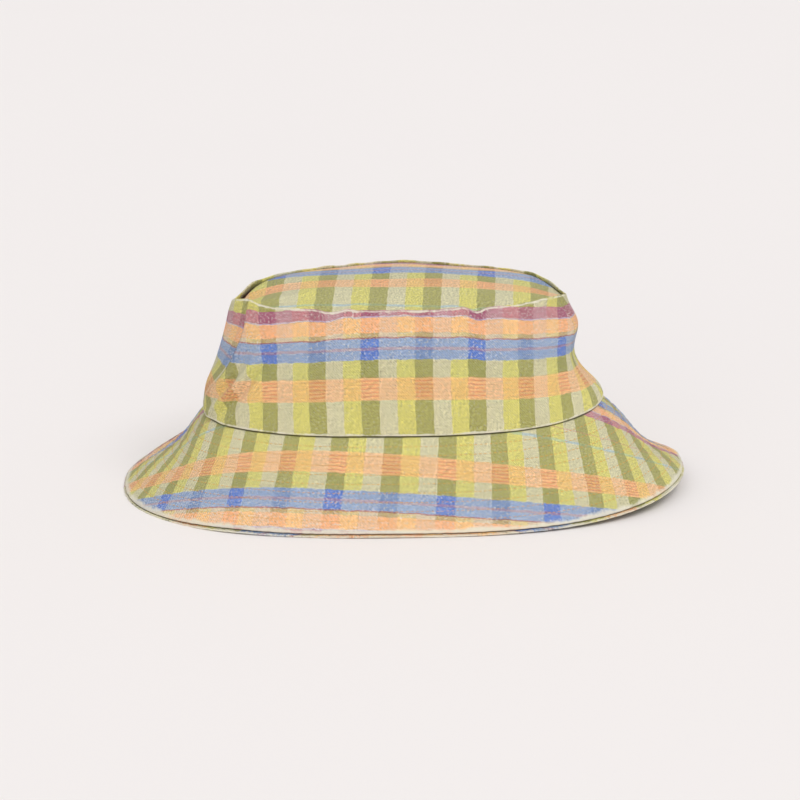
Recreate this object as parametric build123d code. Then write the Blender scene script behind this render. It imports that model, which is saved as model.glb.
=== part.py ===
from build123d import *
import os

# A lined cloth bucket hat standing on the edge of its brim, in millimetres.
# +Z is up, the front faces -Y, and the origin is on the floor under the middle of the hat.
# Each level of the hat is an ellipse, wider from side to side than from front to back,
# given as (half width along X, half depth along Y) of the outermost cloth.

# Driving dimensions
BRIM_EDGE = (169.0, 104.0)     # outer edge of the brim, on the floor
HEAD_SEAM = (120.0, 64.0)      # seam between the brim and the crown side
TIP_SEAM = (98.0, 44.0)        # seam between the crown side and the tip
TIP_CAP = (58.0, 18.0)         # flat middle of the domed tip
BRIM_DROP = 48.0               # height of the head seam above the floor
SIDE_HEIGHT = 71.0             # height of the crown side
TIP_RISE = 5.0                 # how far the tip domes above its seam
SEAM_FORWARD = 18.0            # the side seams stand this far in front of the middle

CLOTH = 0.7                    # plaid shell cloth, and the stiff layer inside the brim
LINING = 0.4                   # thin cotton lining
BAND = 0.9                     # folded cotton sweatband
LAYER_GAP = 0.15               # air between two layers that lie on each other
SEAM_ALLOWANCE = 9.0           # cloth turned in past a seam
SWEATBAND_HEIGHT = 32.0

STITCH_ROWS = 9                # rows of stitching round the brim
STITCH_THREAD = 0.35           # how far a row of thread stands out of the cloth
STITCH_WIDTH = 0.6             # height of a row of thread

LABEL_SIZE = (24.0, 30.0)      # care label: width and hanging length
LABEL_THICKNESS = 0.4
LABEL_CLEARANCE = 0.8          # between the label's sewn edge and the sweatband
PATCH_SIZE = (52.0, 22.0)      # blank patch inside the crown
PATCH_THICKNESS = 0.3

# Sizes that follow from the ones above
STEP = CLOTH + LAYER_GAP                        # from one layer of shell cloth to the next
HEAD_Z = BRIM_DROP
TIP_Z = HEAD_Z + SIDE_HEIGHT                    # top of the tip seam
SIDE_TOP_Z = TIP_Z - CLOTH                      # where the crown side meets the tip
LINING_INSET = 3 * STEP                         # inside the crown side and two turned-in edges
BAND_INSET = LINING_INSET + LINING + LAYER_GAP
LINING_TOP_Z = SIDE_TOP_Z - STEP
SWEATBAND_TOP_Z = HEAD_Z + SWEATBAND_HEIGHT


def blend(low, high, share):
    """The ellipse a share of the way from low to high."""
    return tuple(a + (b - a) * share for a, b in zip(low, high))


def side_ellipse(z, inset=0.0):
    """The crown side at height z, inset by some layers."""
    half_x, half_y = blend(HEAD_SEAM, TIP_SEAM, (z - HEAD_Z) / SIDE_HEIGHT)
    return half_x - inset, half_y - inset


def brim_ellipse(z, inset=0.0):
    """The brim at height z, inset by some layers."""
    half_x, half_y = blend(BRIM_EDGE, HEAD_SEAM, z / BRIM_DROP)
    return half_x - inset, half_y - inset


def frustum(low, high, z_low, z_high):
    """A solid between two level ellipses."""
    bottom = Plane.XY.offset(z_low) * Ellipse(*low)
    top = Plane.XY.offset(z_high) * Ellipse(*high)
    return loft([bottom.face(), top.face()], ruled=True)


def layer(ellipse_at, z_low, z_high, inset, thickness):
    """One layer of cloth round the hat, from inset inwards by its thickness."""
    outer = frustum(ellipse_at(z_low, inset), ellipse_at(z_high, inset), z_low, z_high)
    inner_inset = inset + thickness
    inner = frustum(
        ellipse_at(z_low, inner_inset), ellipse_at(z_high, inner_inset), z_low, z_high
    )
    return outer - inner


def half(solid, front):
    """The part of a solid in front of the side seams, or behind them."""
    reach = 2 * BRIM_EDGE[0]
    centre_y = -SEAM_FORWARD - reach / 2 if front else -SEAM_FORWARD + reach / 2
    return solid & Pos(0, centre_y, 0) * Box(2 * reach, reach, 2 * reach)


def halves(name, solid):
    """A layer cut at the side seams into its front and back panels."""
    return {f"{name}_front": half(solid, True), f"{name}_back": half(solid, False)}


def crown_tip():
    """Domed oval of shell cloth with its edge turned down inside the crown side."""
    inner_inset = STEP + CLOTH
    edge = frustum(TIP_SEAM, TIP_SEAM, SIDE_TOP_Z, TIP_Z)
    dome = frustum(TIP_SEAM, TIP_CAP, TIP_Z, TIP_Z + TIP_RISE)
    hollow = frustum(
        (TIP_SEAM[0] - inner_inset, TIP_SEAM[1] - inner_inset),
        TIP_CAP,
        SIDE_TOP_Z,
        TIP_Z + TIP_RISE - CLOTH,
    )
    turned_edge = layer(side_ellipse, SIDE_TOP_Z - SEAM_ALLOWANCE, SIDE_TOP_Z, STEP, CLOTH)
    return edge + dome - hollow + turned_edge


def crown_side():
    """Shell cloth between the two seams."""
    return layer(side_ellipse, HEAD_Z, SIDE_TOP_Z, 0.0, CLOTH)


def brim_upper():
    """Outer cloth of the brim, with its inner edge turned up inside the crown side."""
    slope = layer(brim_ellipse, 0.0, HEAD_Z - CLOTH, 0.0, CLOTH)
    seam_roll = layer(brim_ellipse, HEAD_Z - CLOTH, HEAD_Z, 0.0, STEP + CLOTH)
    turned_edge = layer(side_ellipse, HEAD_Z, HEAD_Z + SEAM_ALLOWANCE, STEP, CLOTH)
    return slope + seam_roll + turned_edge


def brim_interlining():
    """Stiff layer between the brim's two cloths, a little short of the edge and the seam."""
    return layer(brim_ellipse, CLOTH, HEAD_Z - CLOTH, STEP, CLOTH)


def brim_under():
    """Lower cloth of the brim, with its inner edge turned up inside the crown side."""
    slope = layer(brim_ellipse, 0.0, HEAD_Z, 2 * STEP, CLOTH)
    turned_edge = layer(side_ellipse, HEAD_Z, HEAD_Z + SEAM_ALLOWANCE, 2 * STEP, CLOTH)
    return slope + turned_edge


def brim_stitching():
    """Evenly spaced rows of thread round the brim, standing just out of its outer cloth."""
    clear = LAYER_GAP / 2
    pitch = BRIM_DROP / (STITCH_ROWS + 1)
    rows = []
    for number in range(1, STITCH_ROWS + 1):
        z = number * pitch
        rows.append(
            layer(brim_ellipse, z, z + STITCH_WIDTH, -clear - STITCH_THREAD, STITCH_THREAD)
        )
    return Compound(children=rows)


def lining_tip():
    """Flat oval of lining under the tip, resting on the lining's side."""
    edge = side_ellipse(LINING_TOP_Z, LINING_INSET)
    return frustum(edge, edge, LINING_TOP_Z, LINING_TOP_Z + LINING)


def lining_side():
    """Lining of the crown side."""
    return layer(side_ellipse, HEAD_Z, LINING_TOP_Z, LINING_INSET, LINING)


def sweatband():
    """Folded cotton band round the head opening."""
    return layer(side_ellipse, HEAD_Z, SWEATBAND_TOP_Z, BAND_INSET, BAND)


def sweatband_stitching():
    """Row of thread just under the sweatband's upper edge."""
    z = SWEATBAND_TOP_Z - 3 * STITCH_WIDTH
    inset = BAND_INSET + BAND + LAYER_GAP / 2
    return layer(side_ellipse, z, z + STITCH_WIDTH, inset, STITCH_THREAD)


def lining_label():
    """Blank patch sewn flat under the middle of the lining's tip."""
    patch = Box(PATCH_SIZE[0], PATCH_SIZE[1], PATCH_THICKNESS)
    return Pos(0, 0, LINING_TOP_Z - PATCH_THICKNESS / 2) * patch


def label_pivot():
    """The line that the care label hangs from: its Y and Z, inside the back of the hat."""
    inner = side_ellipse(SWEATBAND_TOP_Z, BAND_INSET + BAND)[1]
    return inner - LABEL_CLEARANCE - LABEL_THICKNESS / 2, SWEATBAND_TOP_Z


def care_label():
    """Blank label sewn along its upper edge, hanging in front of the sweatband."""
    width, length = LABEL_SIZE
    pivot_y, pivot_z = label_pivot()
    return Pos(0, pivot_y, pivot_z - length / 2) * Box(width, LABEL_THICKNESS, length)


def build():
    """Every piece of the hat by name."""
    pieces = {
        "crown_tip": crown_tip(),
        "brim_stitching": brim_stitching(),
        "lining_tip": lining_tip(),
        "sweatband": sweatband(),
        "sweatband_stitching": sweatband_stitching(),
        "lining_label": lining_label(),
        "care_label": care_label(),
    }
    pieces.update(halves("crown_side", crown_side()))
    pieces.update(halves("brim_upper", brim_upper()))
    pieces.update(halves("brim_interlining", brim_interlining()))
    pieces.update(halves("brim_under", brim_under()))
    pieces.update(halves("lining_side", lining_side()))
    return pieces


os.makedirs("parts", exist_ok=True)
for name, piece in build().items():
    export_step(piece, f"parts/{name}.step")
    print(f"{name}: {len(piece.solids())} solid(s), {piece.volume:.0f} mm3")
print("care label hangs from y, z =", label_pivot())
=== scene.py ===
import math
import random

import bmesh
import bpy
import numpy as np
from mathutils import Matrix, Vector


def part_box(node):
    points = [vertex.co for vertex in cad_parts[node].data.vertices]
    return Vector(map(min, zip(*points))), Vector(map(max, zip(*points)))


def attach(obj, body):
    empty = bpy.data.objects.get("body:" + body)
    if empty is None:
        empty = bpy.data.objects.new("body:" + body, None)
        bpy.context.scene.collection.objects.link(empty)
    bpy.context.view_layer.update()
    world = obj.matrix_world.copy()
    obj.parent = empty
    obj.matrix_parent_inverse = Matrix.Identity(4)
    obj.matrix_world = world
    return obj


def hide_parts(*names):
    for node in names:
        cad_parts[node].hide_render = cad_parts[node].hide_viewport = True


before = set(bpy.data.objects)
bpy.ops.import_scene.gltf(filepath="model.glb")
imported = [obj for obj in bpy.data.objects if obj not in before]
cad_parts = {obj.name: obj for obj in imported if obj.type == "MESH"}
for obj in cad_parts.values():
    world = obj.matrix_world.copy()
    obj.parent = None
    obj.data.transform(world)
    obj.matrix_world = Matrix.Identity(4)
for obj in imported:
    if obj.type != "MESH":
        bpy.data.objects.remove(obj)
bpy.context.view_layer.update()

# ---------------------------------------------------------------------------
# A plaid bucket hat standing on its brim, in metres. The front faces -Y.
#
# A place on the hat is (g, h). g runs round it: 0 at the left side seam, 1 at the right
# one by way of the front, and 2 back at the left one by way of the back. h is a distance
# along the cloth: up from the head seam on the crown side, down from it on the brim.
# ---------------------------------------------------------------------------
MM = 0.001

# Three level outlines: half width, front and back depth, middle, power of the front and
# back curves (2 is an ellipse, more is blunter), height, slope from front to back, lift of
# the right side, and how far the side seams stand forward of the widest points, in radians.
RIM = dict(half_x=0.0980, front=0.034, back=0.054, middle=-0.010, blunt=(2.3, 1.75),
           height=0.1188, slope=0.05, lift=0.0015, seams=(0.56, 0.42))
SEAM = dict(half_x=0.1185, front=0.0615, back=0.065, middle=-0.001, blunt=(2.65, 2.1),
            height=0.0475, slope=0.0, lift=0.0045, seams=(0.06, 0.10))
EDGE = dict(half_x=0.1685, front=0.1020, back=0.103, middle=-0.001, blunt=(2.6, 1.8),
            height=0.0042, slope=0.0, lift=0.0085, seams=(0.0, 0.0))

SIDE = 71.2 * MM               # height of the crown side along the cloth
BRIM = 67.3 * MM               # width of the brim along the cloth
CLOTH = 0.7 * MM
LINING = 0.4 * MM
BAND = 0.9 * MM
INTERLINING = 0.4 * MM
LINING_INSET = 3.4 * CLOTH + 0.80 * MM         # from the crown side's outer face
SWEATBAND_INSET = 3.4 * CLOTH + 1.37 * MM
FOLD = 8.0 * MM                # cloth turned in past a seam
SWEATBAND = 32.0 * MM
TIP_DOME = 5.0 * MM
STITCH_ROWS = 9
STITCH_PITCH = 6.5 * MM        # from one row of brim stitching to the next

rng = random.Random(7)


# ---------------------------------------------------------------------------
# Outlines and surfaces
# ---------------------------------------------------------------------------
def outline(level, samples=4000):
    """Points of a level outline at even steps of g from 0 to 2, as an array."""
    left, right = level["seams"]

    def points(angles):
        c, s = np.cos(angles), np.sin(angles)
        depth = np.where(s < 0, level["front"], level["back"])
        power = np.where(s < 0, *level["blunt"])
        reach = (np.abs(c) ** power + np.abs(s) ** power) ** (-1 / power)
        x = level["half_x"] * c * reach
        y = level["middle"] + depth * s * reach
        lift = level["lift"] * (1 - np.clip(y / 0.06, 0, 1))
        rise = level["slope"] * y + lift * np.clip(x / level["half_x"], 0, 1) ** 3
        return np.stack([x, y, level["height"] + rise], axis=-1)

    halves = []
    for start, end in (
        (math.pi + left, 2 * math.pi - right),
        (2 * math.pi - right, 3 * math.pi + left),
    ):
        fine = points(np.linspace(start, end, 3 * samples))
        steps = np.linalg.norm(np.diff(fine, axis=0), axis=1)
        along = np.concatenate([[0], np.cumsum(steps)])
        even = np.linspace(0, along[-1], samples, endpoint=False)
        halves.append(np.stack([np.interp(even, along, fine[:, i]) for i in range(3)], axis=-1))
    return np.concatenate(halves)


def length_of(points, front):
    """Length of the front or back half of an outline."""
    half = len(points) // 2
    part = points[:half] if front else points[half:]
    return float(np.linalg.norm(np.diff(part, axis=0), axis=1).sum())


def at(points, g):
    """The outline's points at g, which may be any number."""
    place = np.mod(g, 2.0) / 2.0 * len(points)
    low = np.floor(place).astype(int) % len(points)
    share = (place - np.floor(place))[..., None]
    return points[low] * (1 - share) + points[(low + 1) % len(points)] * share


rim_line, seam_line, edge_line = outline(RIM), outline(SEAM), outline(EDGE)


def outward(g, line=seam_line):
    """Level direction out of the hat at g, square to an outline."""
    step = 0.002
    along = at(line, g + step) - at(line, g - step)
    normal = np.stack([along[..., 1], -along[..., 0], 0 * along[..., 0]], axis=-1)
    return normal / np.linalg.norm(normal, axis=-1, keepdims=True)


def gap(g, middle):
    """Distance round the hat from g to middle, the shorter way."""
    return np.mod(g - middle + 1.0, 2.0) - 1.0


def bump(g, h, middle_g, middle_h, wide, tall):
    """A soft hump of height 1."""
    return np.exp(-((gap(g, middle_g) / wide) ** 2) - ((h - middle_h) / tall) ** 2)


def ripples(g, h, seed, turns, per_metre, count=7):
    """Smooth waves of about unit height, the same all round the seam."""
    source = random.Random(seed)
    total = 0.0
    for _ in range(count):
        round_it = source.randint(*turns)
        up = source.uniform(-per_metre, per_metre)
        total = total + np.sin(math.pi * round_it * g + 2 * math.pi * up * h + source.uniform(0, 6.3))
    return total / math.sqrt(count)


# Folds: middle g, middle h, half width in g, half height, height of the hump.
SIDE_FOLDS = (
    (1.02, 0.025, 0.10, 0.017, -7.6),     # hollow over the right end of the brim
    (1.02, 0.004, 0.07, 0.009, 3.0),
    (1.02, 0.050, 0.10, 0.010, 2.0),
    (1.02, 0.068, 0.08, 0.010, -1.2),
    (-0.02, 0.044, 0.10, 0.028, 4.4),     # the left side swells
    (-0.02, 0.014, 0.10, 0.012, 2.8),
    (-0.02, 0.066, 0.08, 0.010, 2.2),
    (0.040, 0.022, 0.013, 0.017, -2.6),   # upright creases by the left side seam
    (0.070, 0.020, 0.013, 0.017, 2.4),
    (0.102, 0.022, 0.013, 0.018, -2.6),
    (0.135, 0.018, 0.018, 0.015, 1.4),
    (0.87, 0.020, 0.020, 0.018, -0.8),
    (0.92, 0.016, 0.018, 0.018, 0.7),
    (0.24, 0.070, 0.030, 0.006, 1.0),     # dents under the rim
    (0.29, 0.060, 0.030, 0.006, -1.1),
    (0.70, 0.069, 0.022, 0.005, 1.3),
    (0.735, 0.059, 0.022, 0.007, -1.4),
    (0.50, 0.040, 0.160, 0.030, 0.8),
    (1.50, 0.040, 0.200, 0.034, 1.6),
    (1.30, 0.030, 0.060, 0.020, -1.6),
    (1.72, 0.036, 0.060, 0.022, -1.4),
)
# Dips and rises of the rim: middle g, half width in g, height.
RIM_DIPS = ((0.25, 0.035, -1.3), (0.30, 0.03, 0.5), (0.715, 0.022, -1.9), (0.66, 0.03, 0.7),
            (0.93, 0.05, 0.3), (0.08, 0.04, -0.3), (1.08, 0.055, -5.2), (1.90, 0.045, -5.5),
            (1.995, 0.03, 2.6), (1.35, 0.08, -0.8), (1.62, 0.07, -0.6))
BRIM_FOLDS = (
    (-0.02, 0.030, 0.16, 0.020, -5.2),    # the left end dips, then flares
    (-0.02, 0.062, 0.16, 0.016, -1.5),
    (0.10, 0.045, 0.05, 0.020, -1.2),
    (0.98, 0.040, 0.10, 0.030, -0.8),
    (1.06, 0.044, 0.10, 0.016, -5.6),
    (0.93, 0.062, 0.06, 0.020, 1.5),
    (0.50, 0.030, 0.30, 0.030, -1.0),
    (0.30, 0.055, 0.08, 0.020, 0.5),
    (0.74, 0.050, 0.07, 0.020, 0.6),
    (1.50, 0.030, 0.30, 0.030, -1.2),
    (1.30, 0.055, 0.06, 0.030, 1.2),
    (1.42, 0.055, 0.06, 0.030, -1.0),
    (1.66, 0.055, 0.07, 0.030, 1.2),
)


def swayed(g, h):
    """The left side seam wanders forward at half height and takes the cloth with it."""
    share = h / SIDE
    return g + 0.052 * np.clip(share * (1 - share) * 4, -1, 1) * np.exp(-((gap(g, 0.0) / 0.16) ** 2))


def side(g, h):
    """Outer face of the crown side."""
    share = h / SIDE
    place = swayed(g, h)
    low, high = at(seam_line, place), at(rim_line, place)
    points = low + (high - low) * share[..., None]
    swell = 0.35 * ripples(g, h, 11, (2, 9), 12.0) + 0.12 * ripples(g, h, 12, (12, 34), 35.0)
    for middle_g, middle_h, wide, tall, height in SIDE_FOLDS:
        swell = swell + height * bump(g, h, middle_g, middle_h, wide, tall)
    points = points + outward(place) * (swell * MM)[..., None]
    near_rim = np.clip(share, 0, 1) ** 3
    for middle_g, wide, height in RIM_DIPS:
        points[..., 2] += height * MM * near_rim * np.exp(-((gap(g, middle_g) / wide) ** 2))
    points[..., 2] += 0.22 * MM * near_rim * ripples(g, 0 * h, 13, (14, 40), 1.0)
    return points


def row_height(number):
    """Distance of a row of brim stitching from the head seam."""
    return (number + 1.1) * STITCH_PITCH


def brim(g, h):
    """Outer face of the brim."""
    share = h / BRIM
    low, high = at(seam_line, g), at(edge_line, g)
    points = low + (high - low) * share[..., None]
    lean = 0.70
    normal = outward(g) * lean
    normal[..., 2] = math.sqrt(1 - lean ** 2)
    swell = -0.4 * np.sin(math.pi * np.clip(share, 0, 1)) - 1.0
    swell = swell + 0.45 * np.clip(share, 0, 1.2) * ripples(g, h, 21, (3, 11), 8.0)
    for middle_g, middle_h, wide, tall, height in BRIM_FOLDS:
        swell = swell + height * bump(g, h, middle_g, middle_h, wide, tall)
    pucker = ripples(g, h, 22, (60, 150), 25.0)
    swell = swell + 0.17 * pucker * np.clip(share * 4, 0, 1)
    for number in range(STITCH_ROWS):
        groove = np.exp(-(((h - row_height(number)) / (0.9 * MM)) ** 2))
        swell = swell - groove * (0.34 + 0.10 * pucker)
    return points + normal * (swell * MM)[..., None]


def tip(g, r):
    """Top of the crown: r is 0 in the middle and 1 at the rim."""
    border = at(rim_line, g)
    for middle_g, wide, height in RIM_DIPS:
        border[..., 2] += height * MM * np.exp(-((gap(g, middle_g) / wide) ** 2))
    middle = np.array([0.0, 0.002, 0.0])
    flat = middle + (border - middle) * r[..., None]
    plane = RIM["height"] + RIM["slope"] * flat[..., 1]
    edge_rise = border[..., 2] - (RIM["height"] + RIM["slope"] * border[..., 1])
    height = plane + edge_rise * np.clip(r, 0, 1) ** 4
    puff = 1 - np.clip(np.abs(r), 0, 1) ** 2.6
    x, y = flat[..., 0], flat[..., 1]
    sag = 0.5 * MM * np.sin(38 * x + 1.0) * np.cos(52 * y) + 0.3 * MM * np.sin(90 * x + 70 * y)
    height = height - 0.9 * MM + TIP_DOME * puff + sag * np.sqrt(puff)
    corner = np.exp(-(((x + 0.093) / 0.012) ** 2)) + 0.6 * np.exp(-(((x - 0.092) / 0.012) ** 2))
    height = height - 2.2 * MM * corner
    return np.stack([x, y, height], axis=-1)


def shifted(surface, up, g, h, inset, step=0.6 * MM):
    """Points of a surface moved inwards by inset, square to it. up is 1 where h runs
    upwards and -1 where it runs down or outwards."""
    base = surface(g, h)
    step_h = step if surface is not tip else 0.01
    along_g = surface(g + 0.002, h) - surface(g - 0.002, h)
    along_h = surface(g, h + step_h) - surface(g, h - step_h)
    normal = np.cross(along_g, along_h) * up
    normal /= np.maximum(np.linalg.norm(normal, axis=-1, keepdims=True), 1e-12)
    return base - normal * inset[..., None]


# ---------------------------------------------------------------------------
# Meshes
# ---------------------------------------------------------------------------
def make_object(name, vertices, faces, material, node=None, body="hat"):
    mesh = bpy.data.meshes.new(name)
    mesh.from_pydata([tuple(v) for v in vertices], [], faces)
    mesh.polygons.foreach_set("use_smooth", [True] * len(mesh.polygons))
    mesh.materials.append(material)
    mesh.update()
    piece = bpy.data.objects.new(name, mesh)
    bpy.context.scene.collection.objects.link(piece)
    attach(piece, body)
    if node:
        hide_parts(node)
    return piece


def add_uv(piece, layer_name, values):
    """Writes a value pair per vertex into a UV layer."""
    mesh = piece.data
    layer = mesh.uv_layers.new(name=layer_name)
    loops = np.empty(len(mesh.loops), dtype=np.int64)
    mesh.loops.foreach_get("vertex_index", loops)
    layer.data.foreach_set("uv", np.ascontiguousarray(values[loops], dtype=np.float32).ravel())


def thicken(piece, thickness):
    """Gives a sheet its thickness, inwards from its outer face."""
    solid = piece.modifiers.new("thickness", "SOLIDIFY")
    solid.thickness = thickness
    solid.offset = -1
    solid.use_even_offset = False
    solid.use_rim = True


def grid_faces(rows, columns, flip):
    faces = []
    for row in range(rows - 1):
        for column in range(columns - 1):
            a = row * columns + column
            quad = (a, a + 1, a + columns + 1, a + columns)
            faces.append(quad[::-1] if flip else quad)
    return faces


def ring_faces(rows, columns):
    """Faces of closed rings from the inside out, and one that fills the first ring."""
    faces = []
    for row in range(rows - 1):
        for column in range(columns):
            after = (column + 1) % columns
            a, b = row * columns + column, row * columns + after
            faces.append((a, a + columns, b + columns, b))
    faces.append(tuple(range(columns)))
    return faces


def cloth_piece(name, surface, up, g_range, columns, profile, pattern, wear_and_shade_distance, material,
                node, thickness=CLOTH):
    """A piece of cloth: profile is a list of (h, inset) from one edge to the other."""
    h = np.array([p[0] for p in profile])
    inset = np.array([p[1] for p in profile])
    g = np.linspace(*g_range, columns)
    g_grid, h_grid = np.meshgrid(g, h)
    inset_grid = np.repeat(inset[:, None], columns, axis=1)
    points = shifted(surface, up, g_grid, h_grid, inset_grid)
    points[..., 2] = np.maximum(points[..., 2], thickness + 0.1 * MM)
    faces = grid_faces(len(h), columns, up < 0)
    piece = make_object(name, points.reshape(-1, 3), faces, material, node)
    add_uv(piece, "cloth", pattern(g_grid, h_grid).reshape(-1, 2))
    add_uv(piece, "wear_and_shade_distance", wear_and_shade_distance(g_grid, h_grid).reshape(-1, 2))
    thicken(piece, thickness)
    return piece


def steps(start, end, pitch):
    """Even distances from start to end, about pitch apart."""
    count = max(2, int(round(abs(end - start) / pitch)) + 1)
    return list(np.linspace(start, end, count))


# ---------------------------------------------------------------------------
# Cloth patterns: where each piece was cut from the plaid. The first number runs across
# the warp stripes from the middle of a dark one, the second across the weft stripes.
# ---------------------------------------------------------------------------
SIDE_AT_SEAM = 76.6 * MM       # place in the weft repeat at the head seam's middle
SIDE_BOW = 12.0 * MM           # how far the front's cut curves up at its ends
SIDE_BACK_BOW = 7.0 * MM       # the same for the back
SIDE_BACK_SHIFT = 6.0 * MM     # the back is cut this much further along the weft repeat
SIDE_EASE = 9.0 * MM           # how far the stripes are eased outwards at SIDE_EASE_AT
SIDE_EASE_AT = 110.0 * MM
BRIM_RADIUS = 137.0 * MM       # inner radius of the flat cut of the brim's back and layers
BRIM_TAKE_UP = 1.03            # the stitching draws that cloth together
TIP_AT_FRONT = 86.4 * MM       # place in the weft repeat at the front of the tip

FRONT_CUT_TILT = 0.10          # radians that the brim front's grain leans
FRONT_CUT_TURN = 0.30          # radians that its inner edge turns from the middle to an end
FRONT_CUT_END_TURN = 0.70      # radians that it turns besides, mostly near the ends
FRONT_CUT_CROWDING = 0.9       # share by which its stripes are closer together at the seams
FRONT_CUT_EASE = 0.88          # share of the brim's depth that the cut spans
FRONT_CUT_FLARE = 0.8          # extra widening towards the hem, as a share of that depth
FRONT_CUT_SHIFT = 26.5 * MM
FRONT_CUT_STEPS = 16           # steps in adding up the cut's inner edge


def centre_of(points, front):
    """The g at which an outline crosses the middle of the hat, x = 0."""
    half = len(points) // 2
    x = points[:half, 0] if front else -points[half:, 0]
    return float(np.interp(0.0, x, np.arange(half) / half)) + (0.0 if front else 1.0)


def side_pattern(front):
    rim_length, seam_length = length_of(rim_line, front), length_of(seam_line, front)
    rim_centre, seam_centre = centre_of(rim_line, front), centre_of(seam_line, front)
    shift, bow = (0.0, SIDE_BOW) if front else (SIDE_BACK_SHIFT, SIDE_BACK_BOW)
    dark = -18.9 * MM if front else 6.0 * MM

    def pattern(g, h):
        share = h / SIDE
        place = swayed(g, h) if front else g
        from_centre = place - seam_centre - (rim_centre - seam_centre) * share
        across = from_centre * (seam_length + (rim_length - seam_length) * share)
        across = across + SIDE_EASE * (across / SIDE_EASE_AT) ** 3
        up = h + shift + bow * (2 * from_centre) ** 2
        return np.stack([across - dark, SIDE_AT_SEAM - up], axis=-1)

    return pattern


def front_cut_heading(end):
    """Direction of the front cut's inner edge; end is -1 and 1 at its two seams."""
    return FRONT_CUT_TILT + FRONT_CUT_TURN * end + FRONT_CUT_END_TURN * end ** 3


def brim_front_pattern(g, h):
    """The front of the brim, cut as a strip whose inner edge turns slowly in the middle and
    faster towards the ends. It is eased and flared, so it is not quite a flat cut."""
    half = length_of(seam_line, True) / 2
    end = 2 * (g - 0.5)
    across = 0 * end
    along = 0 * end
    for step in range(FRONT_CUT_STEPS):
        here = end * (step + 0.5) / FRONT_CUT_STEPS
        pace = half * (1 + FRONT_CUT_CROWDING * here ** 2) * end / FRONT_CUT_STEPS
        across = across + pace * np.cos(front_cut_heading(here))
        along = along + pace * np.sin(front_cut_heading(here))
    depth = h * FRONT_CUT_EASE
    across = across + depth * (np.sin(front_cut_heading(end)) + FRONT_CUT_FLARE * end)
    along = along + BRIM - depth * np.cos(front_cut_heading(end))
    return np.stack([FRONT_CUT_SHIFT - across, along], axis=-1)


def brim_pattern(front, under=False):
    if front and not under:
        return brim_front_pattern
    seam_length = length_of(seam_line, front)
    middle = 0.5 if front else 1.5
    dark = 22.8 * MM if not under else 4.0 * MM
    phase = 0.0 if not under else 12.0 * MM

    def pattern(g, h):
        angle = (g - middle) * seam_length / BRIM_RADIUS * BRIM_TAKE_UP
        radius = BRIM_RADIUS + h
        across = radius * np.sin(angle)
        return np.stack(
            [dark - across, BRIM_RADIUS + BRIM - radius * np.cos(angle) + phase], axis=-1
        )

    return pattern


def tip_pattern(g, r):
    points = tip(g, r)
    across, back = points[..., 0], points[..., 1]
    turn = math.radians(3.5)
    along = across * math.cos(turn) - (back + 0.044) * math.sin(turn)
    depth = (back + 0.044) * math.cos(turn) + across * math.sin(turn)
    return np.stack([along + 15.0 * MM, TIP_AT_FRONT - depth], axis=-1)


def edge_wear_and_shade(low, high):
    """Distances to the two folds of a piece, for its material: it wears folds pale, and puts painted shade
    along a fold that sits in a crease.
    """

    def wear_and_shade_distance(g, h):
        return np.stack([np.abs(h - low), np.abs(high - h)], axis=-1)

    return wear_and_shade_distance


def no_wear(g, h):
    return np.stack([0 * h + 1.0, 0 * h + 1.0], axis=-1)


# ---------------------------------------------------------------------------
# Materials
# ---------------------------------------------------------------------------
def linear(red, green, blue):
    """A colour given in 0 to 255 as the screen shows it, in linear light."""
    values = []
    for value in (red, green, blue):
        value /= 255
        values.append(value / 12.92 if value <= 0.04045 else ((value + 0.055) / 1.055) ** 2.4)
    return (*values, 1.0)


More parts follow.
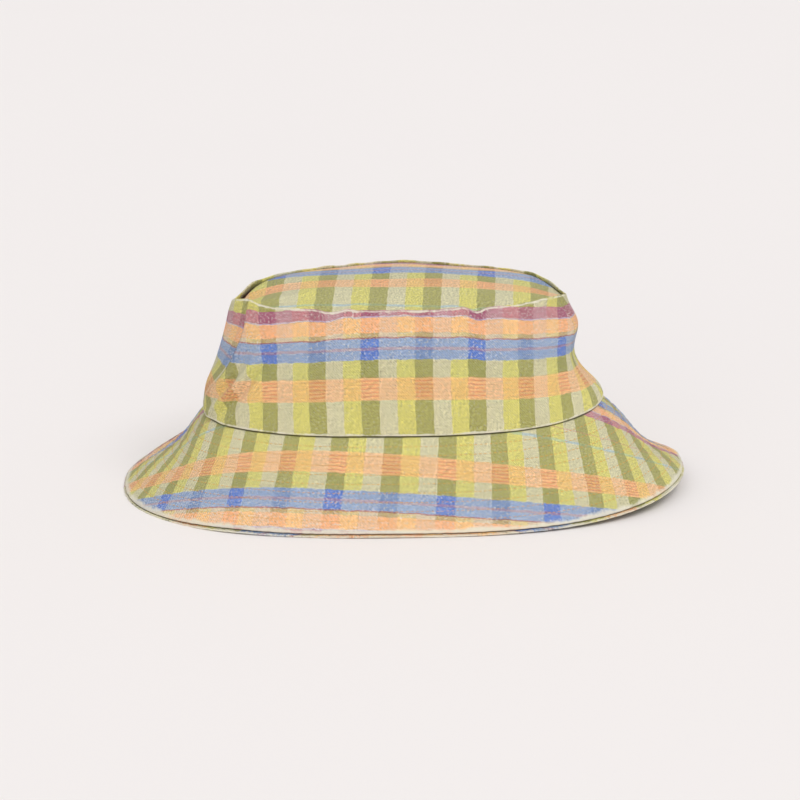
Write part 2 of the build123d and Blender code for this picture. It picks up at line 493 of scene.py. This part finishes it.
class Graph:
    """Short names for the nodes of one material."""

    def __init__(self, name, roughness, sheen=0.0):
        self.material = bpy.data.materials.new(name)
        self.material.use_nodes = True
        self.tree = self.material.node_tree
        self.shader = self.tree.nodes["Principled BSDF"]
        self.shader.inputs["Roughness"].default_value = roughness
        self.shader.inputs["Specular IOR Level"].default_value = 0.25
        self.shader.inputs["Sheen Weight"].default_value = sheen
        self.shader.inputs["Sheen Roughness"].default_value = 0.5

    def node(self, kind, **settings):
        node = self.tree.nodes.new(kind)
        for key, value in settings.items():
            setattr(node, key, value)
        return node

    def set(self, socket, value):
        if isinstance(value, bpy.types.NodeSocket):
            self.tree.links.new(value, socket)
        else:
            socket.default_value = value

    def math(self, operation, first, second=0.0, third=0.0, clamp=False):
        node = self.node("ShaderNodeMath", operation=operation, use_clamp=clamp)
        for socket, value in zip(node.inputs, (first, second, third)):
            self.set(socket, value)
        return node.outputs[0]

    def uv(self, layer):
        node = self.node("ShaderNodeUVMap", uv_map=layer)
        parts = self.node("ShaderNodeSeparateXYZ")
        self.set(parts.inputs[0], node.outputs[0])
        return parts.outputs[0], parts.outputs[1]

    def vector(self, x, y, z=0.0):
        node = self.node("ShaderNodeCombineXYZ")
        for socket, value in zip(node.inputs, (x, y, z)):
            self.set(socket, value)
        return node.outputs[0]

    def noise(self, vector, scale, detail=2.0, roughness=0.5):
        node = self.node("ShaderNodeTexNoise")
        self.set(node.inputs["Vector"], vector)
        self.set(node.inputs["Scale"], scale)
        self.set(node.inputs["Detail"], detail)
        self.set(node.inputs["Roughness"], roughness)
        return node.outputs["Fac"]

    def remap(self, value, low, high, to_low=0.0, to_high=1.0):
        node = self.node("ShaderNodeMapRange", clamp=True)
        for socket, number in zip(node.inputs, (value, low, high, to_low, to_high)):
            self.set(socket, number)
        return node.outputs[0]

    def mix(self, share, first, second, blend="MIX"):
        node = self.node("ShaderNodeMix", data_type="RGBA", blend_type=blend)
        self.set(node.inputs["Factor"], share)
        self.set(node.inputs[6], first)
        self.set(node.inputs[7], second)
        return node.outputs[2]

    def ramp(self, value, stops):
        """stops is a list of (position, colour), each holding until the next."""
        node = self.node("ShaderNodeValToRGB")
        node.color_ramp.interpolation = "CONSTANT"
        elements = node.color_ramp.elements
        while len(elements) < len(stops):
            elements.new(1.0)
        for element, (position, colour) in zip(elements, stops):
            element.position = position
            element.color = colour
        self.set(node.inputs[0], value)
        return node.outputs[0]

    def grey(self, value):
        node = self.node("ShaderNodeCombineColor")
        for socket in node.inputs[:3]:
            self.set(socket, value)
        return node.outputs[0]

    def finish(self, colour, height=None, distance=0.0001, strength=1.0):
        self.set(self.shader.inputs["Base Color"], colour)
        if height is not None:
            node = self.node("ShaderNodeBump")
            node.inputs["Distance"].default_value = distance
            node.inputs["Strength"].default_value = strength
            self.set(node.inputs["Height"], height)
            self.set(self.shader.inputs["Normal"], node.outputs[0])
        return self.material


# Weft stripes in order: width in mm, then the colour over a strong dark, a soft dark, a
# sage and a chartreuse warp stripe.
WEFT = (
    (7.4, (166, 92, 116), (172, 106, 118), (190, 138, 146), (196, 130, 134)),
    (0.7, (176, 158, 186), (180, 160, 184), (200, 186, 200), (206, 190, 190)),
    (9.0, (244, 178, 126), (240, 178, 124), (236, 188, 144), (246, 194, 130)),
    (2.3, (190, 164, 112), (184, 160, 108), (214, 194, 162), (218, 196, 136)),
    (0.9, (150, 96, 96), (150, 100, 96), (182, 126, 124), (184, 128, 112)),
    (5.2, (98, 130, 200), (122, 146, 186), (148, 166, 196), (148, 168, 198)),
    (1.7, (140, 118, 162), (150, 132, 158), (176, 156, 168), (176, 158, 168)),
    (5.2, (92, 124, 198), (116, 142, 184), (142, 162, 194), (144, 164, 196)),
    (10.4, (158, 156, 90), (164, 160, 94), (204, 198, 158), (208, 202, 116)),
    (13.3, (236, 182, 126), (222, 172, 112), (234, 192, 144), (234, 194, 118)),
    (21.5, (168, 164, 94), (168, 164, 94), (210, 204, 164), (214, 206, 114)),
    (2.3, (156, 166, 116), (156, 166, 116), (180, 196, 194), (190, 202, 150)),
    (8.7, (168, 164, 94), (168, 164, 94), (210, 204, 164), (214, 206, 114)),
    (0.9, (176, 142, 100), (176, 142, 100), (208, 174, 152), (210, 178, 120)),
    (17.7, (166, 162, 94), (166, 162, 94), (208, 202, 162), (212, 204, 114)),
)
WARP_STRIPE = 10.43 * MM
WEFT_REPEAT = sum(stripe[0] for stripe in WEFT) * MM
PEACH = (39.7 * MM + 2.4 * MM, 13.3 * MM)
TWILL = 1.55 * MM              # from one twill line to the next, along a weft thread
PALE = linear(232, 226, 206)


def weft_stops(column):
    stops, place = [], 0.0
    for stripe in WEFT:
        stops.append((place / (WEFT_REPEAT / MM), linear(*stripe[column])))
        place += stripe[0]
    return stops


def plaid(name, painted_sheen=0.0, edge_low=1.5 * MM, edge_high=1.5 * MM, crease_shade=0.0):
    """Twill plaid, faded, with yarns of uneven shade, and worn pale along its folds, and paled evenly by a
    set amount as painted sheen. Where a crease distance is given, the first edge is darkened for that
    distance instead, as painted shade in the crease."""
    g = Graph(name, roughness=0.9, sheen=0.12)
    across, along = g.uv("cloth")
    here = g.vector(across, along)

    # The threads wander a little, so no stripe has a ruled edge.
    wander = g.noise(here, 160.0, 2.0)
    fray = g.noise(here, 1500.0, 1.0)
    shift = g.math("ADD", g.math("MULTIPLY", g.math("SUBTRACT", wander, 0.5), 1.6 * MM),
                   g.math("MULTIPLY", g.math("SUBTRACT", fray, 0.5), 1.1 * MM))
    x = g.math("ADD", across, shift)
    y = g.math("ADD", along, shift)

    weft_place = g.math("FRACT", g.math("DIVIDE", y, WEFT_REPEAT))
    strong, soft, sage, chartreuse = (g.ramp(weft_place, weft_stops(i)) for i in (1, 2, 3, 4))
    warp_place = g.math("FRACT", g.math("DIVIDE", g.math("ADD", x, WARP_STRIPE / 2),
                                        6 * WARP_STRIPE))
    red, green, blue = (1, 0, 0, 1), (0, 1, 0, 1), (0, 0, 1, 1)
    masks = g.ramp(warp_place, [(0.0, red), (1 / 6, blue), (2 / 6, (0, 0, 0, 1)),
                                (3 / 6, green), (4 / 6, blue), (5 / 6, (0, 0, 0, 1))])
    parts = g.node("ShaderNodeSeparateColor")
    g.set(parts.inputs[0], masks)
    colour = g.mix(parts.outputs[0], chartreuse, strong)
    colour = g.mix(parts.outputs[1], colour, soft)
    colour = g.mix(parts.outputs[2], colour, sage)

    # Five fine red lines in the peach stripe, plainest over the dark warp.
    into_peach = g.math("SUBTRACT", g.math("MULTIPLY", weft_place, WEFT_REPEAT), PEACH[0])
    line = g.math("SINE", g.math("MULTIPLY", into_peach, 2 * math.pi / (PEACH[1] / 6)))
    inside = g.math("MULTIPLY", g.math("GREATER_THAN", into_peach, 0.8 * MM),
                    g.math("LESS_THAN", into_peach, PEACH[1] - 0.6 * MM))
    lines = g.math("MULTIPLY", g.remap(line, 0.1, 0.8), inside)
    dark = g.math("ADD", parts.outputs[0], parts.outputs[1])
    lines = g.math("MULTIPLY", lines, g.math("MULTIPLY_ADD", dark, 0.34, 0.14))
    colour = g.mix(lines, colour, linear(206, 96, 66))

    # Twill: slanting ridges, broken into pale and dark specks by the uneven yarn.
    slant = g.math("SUBTRACT", across, along)
    ridge = g.math("SINE", g.math("MULTIPLY", slant, 2 * math.pi / TWILL))
    grain = g.noise(here, 1200.0, 2.0, 0.6)
    beads = g.noise(g.vector(g.math("MULTIPLY", slant, 1300.0),
                             g.math("MULTIPLY", g.math("ADD", across, along), 420.0)), 1.0, 1.0)
    weave = g.math("MULTIPLY_ADD", g.math("SUBTRACT", grain, 0.5), 5.5,
                   g.math("MULTIPLY", ridge, 0.7))
    weave = g.math("MULTIPLY_ADD", g.math("SUBTRACT", beads, 0.5), 5.0, weave)
    warp_yarn = g.noise(g.vector(g.math("MULTIPLY", across, 900.0), g.math("MULTIPLY", along, 90.0)),
                        1.0, 1.0)
    weft_yarn = g.noise(g.vector(g.math("MULTIPLY", across, 110.0), g.math("MULTIPLY", along, 900.0)),
                        1.0, 1.0)
    cloudy = g.noise(here, 38.0, 3.0)
    shade = g.math("MULTIPLY_ADD", weave, 0.26, 0.99)
    shade = g.math("MULTIPLY_ADD", g.math("SUBTRACT", warp_yarn, 0.5), 0.22, shade)
    shade = g.math("MULTIPLY_ADD", g.math("SUBTRACT", weft_yarn, 0.5), 0.22, shade)
    shade = g.math("MULTIPLY_ADD", g.math("SUBTRACT", cloudy, 0.5), 0.16, shade)
    colour = g.mix(1.0, colour, g.grey(shade), "MULTIPLY")

    # White yarn showing through where the print has washed out.
    fleck = g.noise(here, 850.0, 3.0, 0.75)
    patch = g.noise(here, 90.0, 2.0)
    cold = g.math("LESS_THAN", weft_place, 0.313)
    faded = g.math("MULTIPLY", g.remap(fleck, 0.52, 0.64), g.remap(patch, 0.3, 0.7, 0.5, 0.95))
    faded = g.math("MULTIPLY", faded, g.math("MULTIPLY_ADD", cold, 0.60, 0.40))
    # Painted sheen: an even paling, given only to the tip and upper brim, stands in for the sheen on faces
    # turned up.
    faded = g.math("ADD", faded, painted_sheen, clamp=True)
    colour = g.mix(faded, colour, linear(226, 222, 212))

    # Folds rubbed pale.
    low, high = g.uv("wear_and_shade_distance")
    rough_edge = g.math("MULTIPLY", g.math("SUBTRACT", g.noise(here, 420.0, 3.0, 0.7), 0.5), 2.2 * MM)
    patchy = g.remap(g.noise(here, 55.0, 3.0, 0.6), 0.35, 0.68, -0.7, 1.0)
    for distance, reach in ((low, edge_low), (high, edge_high)):
        if reach:
            worn = g.math("ADD", distance, rough_edge)
            worn = g.math("SUBTRACT", worn, g.math("MULTIPLY", patchy, reach))
            colour = g.mix(g.remap(worn, reach * 0.2, reach * 1.3, 0.85, 0.0), colour, PALE)
    # Painted shade: the first edge is darkened where the cloth sits in a crease, which is under the head
    # seam on the upper brim and under the upper brim's fold on the under layer.
    if crease_shade:
        painted_crease_shade = g.remap(low, crease_shade * 0.6, crease_shade * 1.6, 0.85, 0.0)
        colour = g.mix(painted_crease_shade, colour, linear(52, 50, 34))
    return g.finish(colour, weave, 0.00009)


def plain_cloth(name, colour, second, roughness=0.85, threads=1700.0):
    """Plain-woven cotton with two shades of yarn."""
    g = Graph(name, roughness=roughness, sheen=0.1)
    across, along = g.uv("cloth")
    here = g.vector(across, along)
    over = g.math("SINE", g.math("MULTIPLY", across, threads * 3))
    under = g.math("SINE", g.math("MULTIPLY", along, threads * 3))
    weave = g.math("MULTIPLY", over, under)
    slub = g.noise(g.vector(g.math("MULTIPLY", across, 140.0), g.math("MULTIPLY", along, 1600.0)), 1.0, 2.0)
    cloudy = g.noise(here, 50.0, 3.0)
    share = g.math("MULTIPLY_ADD", slub, 0.6, g.math("MULTIPLY", cloudy, 0.4))
    mixed = g.mix(share, linear(*colour), linear(*second))
    mixed = g.mix(1.0, mixed, g.grey(g.math("MULTIPLY_ADD", weave, 0.06, 1.0)), "MULTIPLY")
    return g.finish(mixed, g.math("ADD", weave, slub), 0.0001)


def thread_material(name, colour, second):
    """Twisted cotton thread, its shade drifting along the rows."""
    g = Graph(name, roughness=0.7, sheen=0.1)
    place = g.node("ShaderNodeTexCoord").outputs["Object"]
    fine = g.noise(place, 2500.0, 2.0)
    drift = g.noise(place, 60.0, 2.0)
    share = g.math("MULTIPLY_ADD", fine, 0.6, g.math("MULTIPLY", drift, 0.4))
    return g.finish(g.mix(share, linear(*colour), linear(*second)), fine, 0.00008)


def floor_material():
    g = Graph("studio_floor", roughness=0.8)
    place = g.node("ShaderNodeTexCoord").outputs["Object"]
    soft = g.noise(place, 1.3, 2.0)
    return g.finish(g.mix(soft, linear(241, 236, 233), linear(244, 239, 236)))


PLAID_SIDE = plaid("plaid_crown_side", edge_low=0.55 * MM, edge_high=0.5 * MM)
# The tip and upper brim are paled a little as painted sheen on faces turned up.
PLAID_TIP = plaid("plaid_tip", painted_sheen=0.02, edge_low=0.0, edge_high=0.5 * MM)
# Painted shade along the first edge of the upper brim, under the head seam, and of the under layer, under
# the upper brim's folded edge.
PLAID_BRIM = plaid("plaid_brim", painted_sheen=0.02, edge_low=0.0, edge_high=1.9 * MM, crease_shade=0.9 * MM)
PLAID_UNDER = plaid("plaid_brim_under", edge_low=0.0, edge_high=0.5 * MM, crease_shade=0.7 * MM)
COTTON = plain_cloth("lining_cotton", (222, 214, 192), (206, 196, 170))
CANVAS = plain_cloth("interlining_canvas", (232, 229, 220), (214, 210, 198), threads=900.0)
WEBBING = plain_cloth("sweatband_cotton", (186, 178, 138), (168, 160, 120), threads=1100.0)
SATIN = plain_cloth("label_satin", (240, 238, 230), (228, 225, 214), roughness=0.45, threads=2600.0)
THREAD = thread_material("golden_thread", (224, 172, 88), (206, 146, 62))
PALE_THREAD = thread_material("pale_thread", (226, 218, 196), (204, 196, 170))


# ---------------------------------------------------------------------------
# The hat
# ---------------------------------------------------------------------------
FRONT, BACK = (0.0, 1.0), (1.0, 2.0)
SIDE_COLUMNS = 220
BRIM_COLUMNS = 300


def side_profile():
    """Up the outside of the crown side, with both edges folded round to the inside."""
    inner = 1.3 * CLOTH
    lower = [(FOLD, inner), (3 * MM, inner), (0.4 * MM, inner), (-0.25 * MM, inner * 0.9)]
    lower += [(-0.6 * MM, inner * 0.55), (-0.45 * MM, inner * 0.15)]
    upper = [(SIDE + 0.5 * MM, inner * 0.15), (SIDE + 0.75 * MM, inner * 0.5)]
    upper += [(SIDE + 0.5 * MM, inner * 0.95), (SIDE - 1 * MM, inner), (SIDE - FOLD, inner)]
    return lower + [(h, 0.0) for h in steps(0.1 * MM, SIDE, 1.3 * MM)] + upper


def crown_side(front):
    name = "front" if front else "back"
    piece = cloth_piece(
        f"crown_side_{name}_cloth", side, 1, FRONT if front else BACK, SIDE_COLUMNS,
        side_profile(), side_pattern(front), edge_wear_and_shade(0.0, SIDE), PLAID_SIDE,
        f"crown_side_{name}",
    )


def brim_upper(front):
    name = "front" if front else "back"
    rows = [(h, 0.0) for h in steps(0.0, BRIM, 0.75 * MM)]
    fold = [(BRIM + 0.5 * MM, 0.2 * MM), (BRIM + 0.7 * MM, 0.7 * MM), (BRIM + 0.3 * MM, 1.0 * MM)]
    fold += [(BRIM - 4 * MM, 1.0 * MM), (BRIM - FOLD, 1.0 * MM)]
    piece = cloth_piece(
        f"brim_upper_{name}_cloth", brim, -1, FRONT if front else BACK, BRIM_COLUMNS,
        rows + fold, brim_pattern(front), edge_wear_and_shade(0.0, BRIM), PLAID_BRIM,
        f"brim_upper_{name}",
    )


def brim_layer(kind, front, start, end, inset, thickness, material, edge_fold):
    name = "front" if front else "back"
    rows = [(h, inset) for h in steps(start, end, 1.1 * MM)]
    if edge_fold:
        rows += [(end + 0.5 * MM, inset - 0.2 * MM), (end + 0.6 * MM, inset - 0.5 * MM)]
    piece = cloth_piece(
        f"brim_{kind}_{name}_cloth", brim, -1, FRONT if front else BACK, BRIM_COLUMNS - 80,
        rows, brim_pattern(front, under=True), edge_wear_and_shade(BRIM, end + 0.4 * MM), material,
        f"brim_{kind}_{name}", thickness,
    )


def crown_tip():
    """Domed top, its border turned down inside the rim."""
    rings = [0.02] + list(np.linspace(0.06, 0.94, 40)) + [0.955, 0.968, 0.978]
    columns = 420
    g, r = np.meshgrid(np.linspace(0, 2, columns, endpoint=False), np.array(rings))
    points = tip(g, r)
    border = points[-1]
    lower = []
    for drop, out in ((0.6, 0.30), (1.6, 0.45), (4.0, 0.6), (8.0, 0.8)):
        ring = border + outward(g[-1], rim_line) * (out * MM)
        ring[:, 2] -= drop * MM
        lower.append(ring)
    points = np.concatenate([points, np.array(lower)])
    faces = ring_faces(len(points), columns)
    beyond = np.array([[0.01], [0.03], [0.07], [0.15]])
    g_all = np.repeat(g[:1], len(points), axis=0)
    r_all = np.concatenate([r, np.repeat(r[-1:], len(lower), axis=0) + beyond])
    piece = make_object("crown_tip_cloth", points.reshape(-1, 3), faces, PLAID_TIP,
                        "crown_tip")
    add_uv(piece, "cloth", tip_pattern(g_all, r_all).reshape(-1, 2))
    from_rim = 45 * MM * (1 - np.minimum(r_all, 1))
    add_uv(piece, "wear_and_shade_distance", np.stack([0 * r_all + 1, from_rim], axis=-1).reshape(-1, 2))
    thicken(piece, CLOTH)


def band_pattern(g, h):
    return np.stack([g * 0.29, h], axis=-1)


def lining_side(front):
    name = "front" if front else "back"
    piece = cloth_piece(
        f"lining_side_{name}_cloth", side, 1, FRONT if front else BACK, 150,
        [(h, LINING_INSET) for h in steps(0.5 * MM, SIDE - 3 * MM, 2.5 * MM)], band_pattern, no_wear,
        COTTON, f"lining_side_{name}", LINING,
    )


def lining_tip():
    """Flat oval of lining under the tip."""
    columns = 240
    rings = np.array([0.03, 0.3, 0.55, 0.75, 0.88, 0.94])
    g, r = np.meshgrid(np.linspace(0, 2, columns, endpoint=False), rings)
    points = tip(g, r)
    points[..., 2] -= 3.2 * MM + 0.4 * TIP_DOME * (1 - r ** 2)
    faces = ring_faces(len(points), columns)
    piece = make_object("lining_tip_cloth", points.reshape(-1, 3), faces, COTTON, "lining_tip")
    add_uv(piece, "cloth", points[..., :2].reshape(-1, 2))
    thicken(piece, LINING)


def sweatband():
    inset = SWEATBAND_INSET
    profile = [(1 * MM, inset + 0.2 * MM)]
    profile += [(h, inset) for h in steps(2 * MM, SWEATBAND, 2 * MM)]
    profile += [(SWEATBAND + 0.5 * MM, inset - 0.4 * MM)]
    piece = cloth_piece(
        "sweatband_cloth", side, 1, (0.0, 2.0), 400, profile, band_pattern,
        no_wear, WEBBING, "sweatband", BAND,
    )


def stitch(bm, middle, along, normal, length, width):
    """One stitch: a short bowed thread that dips into the cloth at both ends."""
    across = along.cross(normal).normalized()
    sides, rings = 6, 5
    loops = []
    for ring in range(rings):
        share = ring / (rings - 1) * 2 - 1
        radius = width / 2 * math.sqrt(max(0.12, 1 - share ** 4))
        proud = width * 0.55 * (1 - share ** 2) - width * 0.2
        centre = middle + along * (share * length / 2) + normal * proud
        loops.append([
            bm.verts.new(centre + across * (radius * math.cos(2 * math.pi * k / sides))
                         + normal * (radius * math.sin(2 * math.pi * k / sides)))
            for k in range(sides)
        ])
    for first, second in zip(loops, loops[1:]):
        for k in range(sides):
            bm.faces.new((first[k], first[(k + 1) % sides], second[(k + 1) % sides], second[k]))
    bm.faces.new(loops[0][::-1])
    bm.faces.new(loops[-1])


def stitch_row(bm, surface, up, h, inset, pitch, length, width):
    """A row of stitches round the hat at distance h along a surface."""
    g = np.linspace(0, 2, 2001)
    line = shifted(surface, up, g, 0 * g + h, 0 * g + inset)
    travelled = np.concatenate([[0], np.cumsum(np.linalg.norm(np.diff(line, axis=0), axis=1))])
    count = int(travelled[-1] / pitch)
    for number in range(count):
        place = (number + rng.uniform(-0.06, 0.06)) * travelled[-1] / count
        where = float(np.interp(place, travelled, g))
        near = np.array([where - 0.0015, where, where + 0.0015])
        ends = shifted(surface, up, near, 0 * near + h, 0 * near + inset)
        proud = shifted(surface, up, near[1:2], np.array([h]), np.array([inset - MM]))[0]
        middle = Vector(ends[1])
        normal = (Vector(proud) - middle).normalized()
        along = (Vector(ends[2]) - Vector(ends[0])).normalized()
        stitch(bm, middle, along, normal, length * rng.uniform(0.9, 1.08), width)


def stitches(name, rows, material, node):
    """rows is a list of (surface, up, h, inset, pitch, length, width)."""
    bm = bmesh.new()
    for row in rows:
        stitch_row(bm, *row)
    mesh = bpy.data.meshes.new(name)
    bmesh.ops.recalc_face_normals(bm, faces=bm.faces)
    bm.to_mesh(mesh)
    bm.free()
    mesh.polygons.foreach_set("use_smooth", [True] * len(mesh.polygons))
    mesh.materials.append(material)
    piece = bpy.data.objects.new(name, mesh)
    bpy.context.scene.collection.objects.link(piece)
    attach(piece, "hat")
    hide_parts(node)


def flat_label(name, corner_low, corner_high, body, node, curl):
    """A blank woven label with heat-cut edges, slightly curled, in the XZ or XY plane."""
    low, high = Vector(corner_low), Vector(corner_high)
    across = 14
    down = 18
    spans = [axis for axis in range(3) if high[axis] - low[axis] > 5 * MM]
    thin = ({0, 1, 2} - set(spans)).pop()
    points, uv = [], []
    for i in range(down):
        for j in range(across):
            a, b = j / (across - 1), i / (down - 1)
            point = [0.0, 0.0, 0.0]
            point[spans[0]] = low[spans[0]] + a * (high[spans[0]] - low[spans[0]])
            point[spans[1]] = low[spans[1]] + b * (high[spans[1]] - low[spans[1]])
            point[thin] = (low[thin] + high[thin]) / 2 + curl * (1 - b) ** 2 * math.cos(2.4 * (a - 0.5))
            points.append(point)
            uv.append((point[spans[0]], point[spans[1]]))
    piece = make_object(name, points, grid_faces(down, across, False), SATIN, node, body)
    add_uv(piece, "cloth", np.array(uv))
    thicken(piece, 0.35 * MM)
    piece.modifiers["thickness"].offset = 0


crown_tip()
for is_front in (True, False):
    crown_side(is_front)
    brim_upper(is_front)
    brim_layer("interlining", is_front, 2 * MM, BRIM - FOLD - MM, 0.85 * MM, INTERLINING, CANVAS,
               False)
    brim_layer("under", is_front, -3 * MM, BRIM + 1.6 * MM, 1.9 * MM, CLOTH, PLAID_UNDER,
               True)
    lining_side(is_front)
lining_tip()
sweatband()
stitches(
    "brim_stitching_thread",
    [(brim, -1, row_height(n), 0.08 * MM, 2.9 * MM, 2.3 * MM, 0.40 * MM) for n in range(STITCH_ROWS)],
    THREAD, "brim_stitching",
)
BAND_FACE = SWEATBAND_INSET + BAND
stitches(
    "sweatband_stitching_thread",
    [(side, 1, SWEATBAND - 3 * MM, BAND_FACE, 3.4 * MM, 2.4 * MM, -0.4 * MM)],
    PALE_THREAD, "sweatband_stitching",
)
flat_label("care_label_cloth", *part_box("care_label"), "care_label_flap", "care_label", -1.2 * MM)
flat_label("lining_label_cloth", *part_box("lining_label"), "hat", "lining_label", 0.0)


# ---------------------------------------------------------------------------
# Studio
# ---------------------------------------------------------------------------
def make_floor():
    mesh = bpy.data.meshes.new("floor")
    size = 8.0
    corners = [(-size, -size, 0), (size, -size, 0), (size, size, 0), (-size, size, 0)]
    mesh.from_pydata(corners, [], [(0, 1, 2, 3)])
    mesh.materials.append(floor_material())
    floor = bpy.data.objects.new("floor", mesh)
    bpy.context.scene.collection.objects.link(floor)


def sun(name, place, strength, softness, colour):
    """A broad, even light shining from the direction of place."""
    light = bpy.data.lights.new(name, "SUN")
    light.energy = strength
    light.angle = math.radians(softness)
    light.color = colour
    lamp = bpy.data.objects.new(name, light)
    lamp.rotation_euler = Vector(place).to_track_quat("Z", "Y").to_euler()
    bpy.context.scene.collection.objects.link(lamp)


def make_camera():
    elevation, turn, roll = math.radians(19.5), math.radians(1.0), math.radians(-0.4)
    target = Vector((-0.0012, 0.0, 0.0470))
    away = 1.47
    forward = Vector((math.cos(elevation) * math.sin(turn), math.cos(elevation) * math.cos(turn),
                      -math.sin(elevation)))
    data = bpy.data.cameras.new("camera")
    data.lens = 110.0
    camera = bpy.data.objects.new("camera", data)
    upright = forward.to_track_quat("-Z", "Y").to_matrix().to_4x4()
    place = Matrix.Translation(target - forward * away)
    camera.matrix_world = place @ upright @ Matrix.Rotation(roll, 4, "Z")
    bpy.context.scene.collection.objects.link(camera)
    bpy.context.scene.camera = camera


make_floor()
make_camera()
sun("key", (0.50, -0.45, 1.05), 1.30, 36.0, (1.0, 1.0, 1.0))
sun("fill", (-0.25, -1.0, 0.45), 0.62, 70.0, (1.0, 1.0, 1.0))
world = bpy.data.worlds.new("studio")
world.use_nodes = True
world.node_tree.nodes["Background"].inputs[0].default_value = linear(252, 252, 255)
world.node_tree.nodes["Background"].inputs[1].default_value = 0.60
bpy.context.scene.world = world
bpy.context.scene.view_settings.view_transform = "Standard"
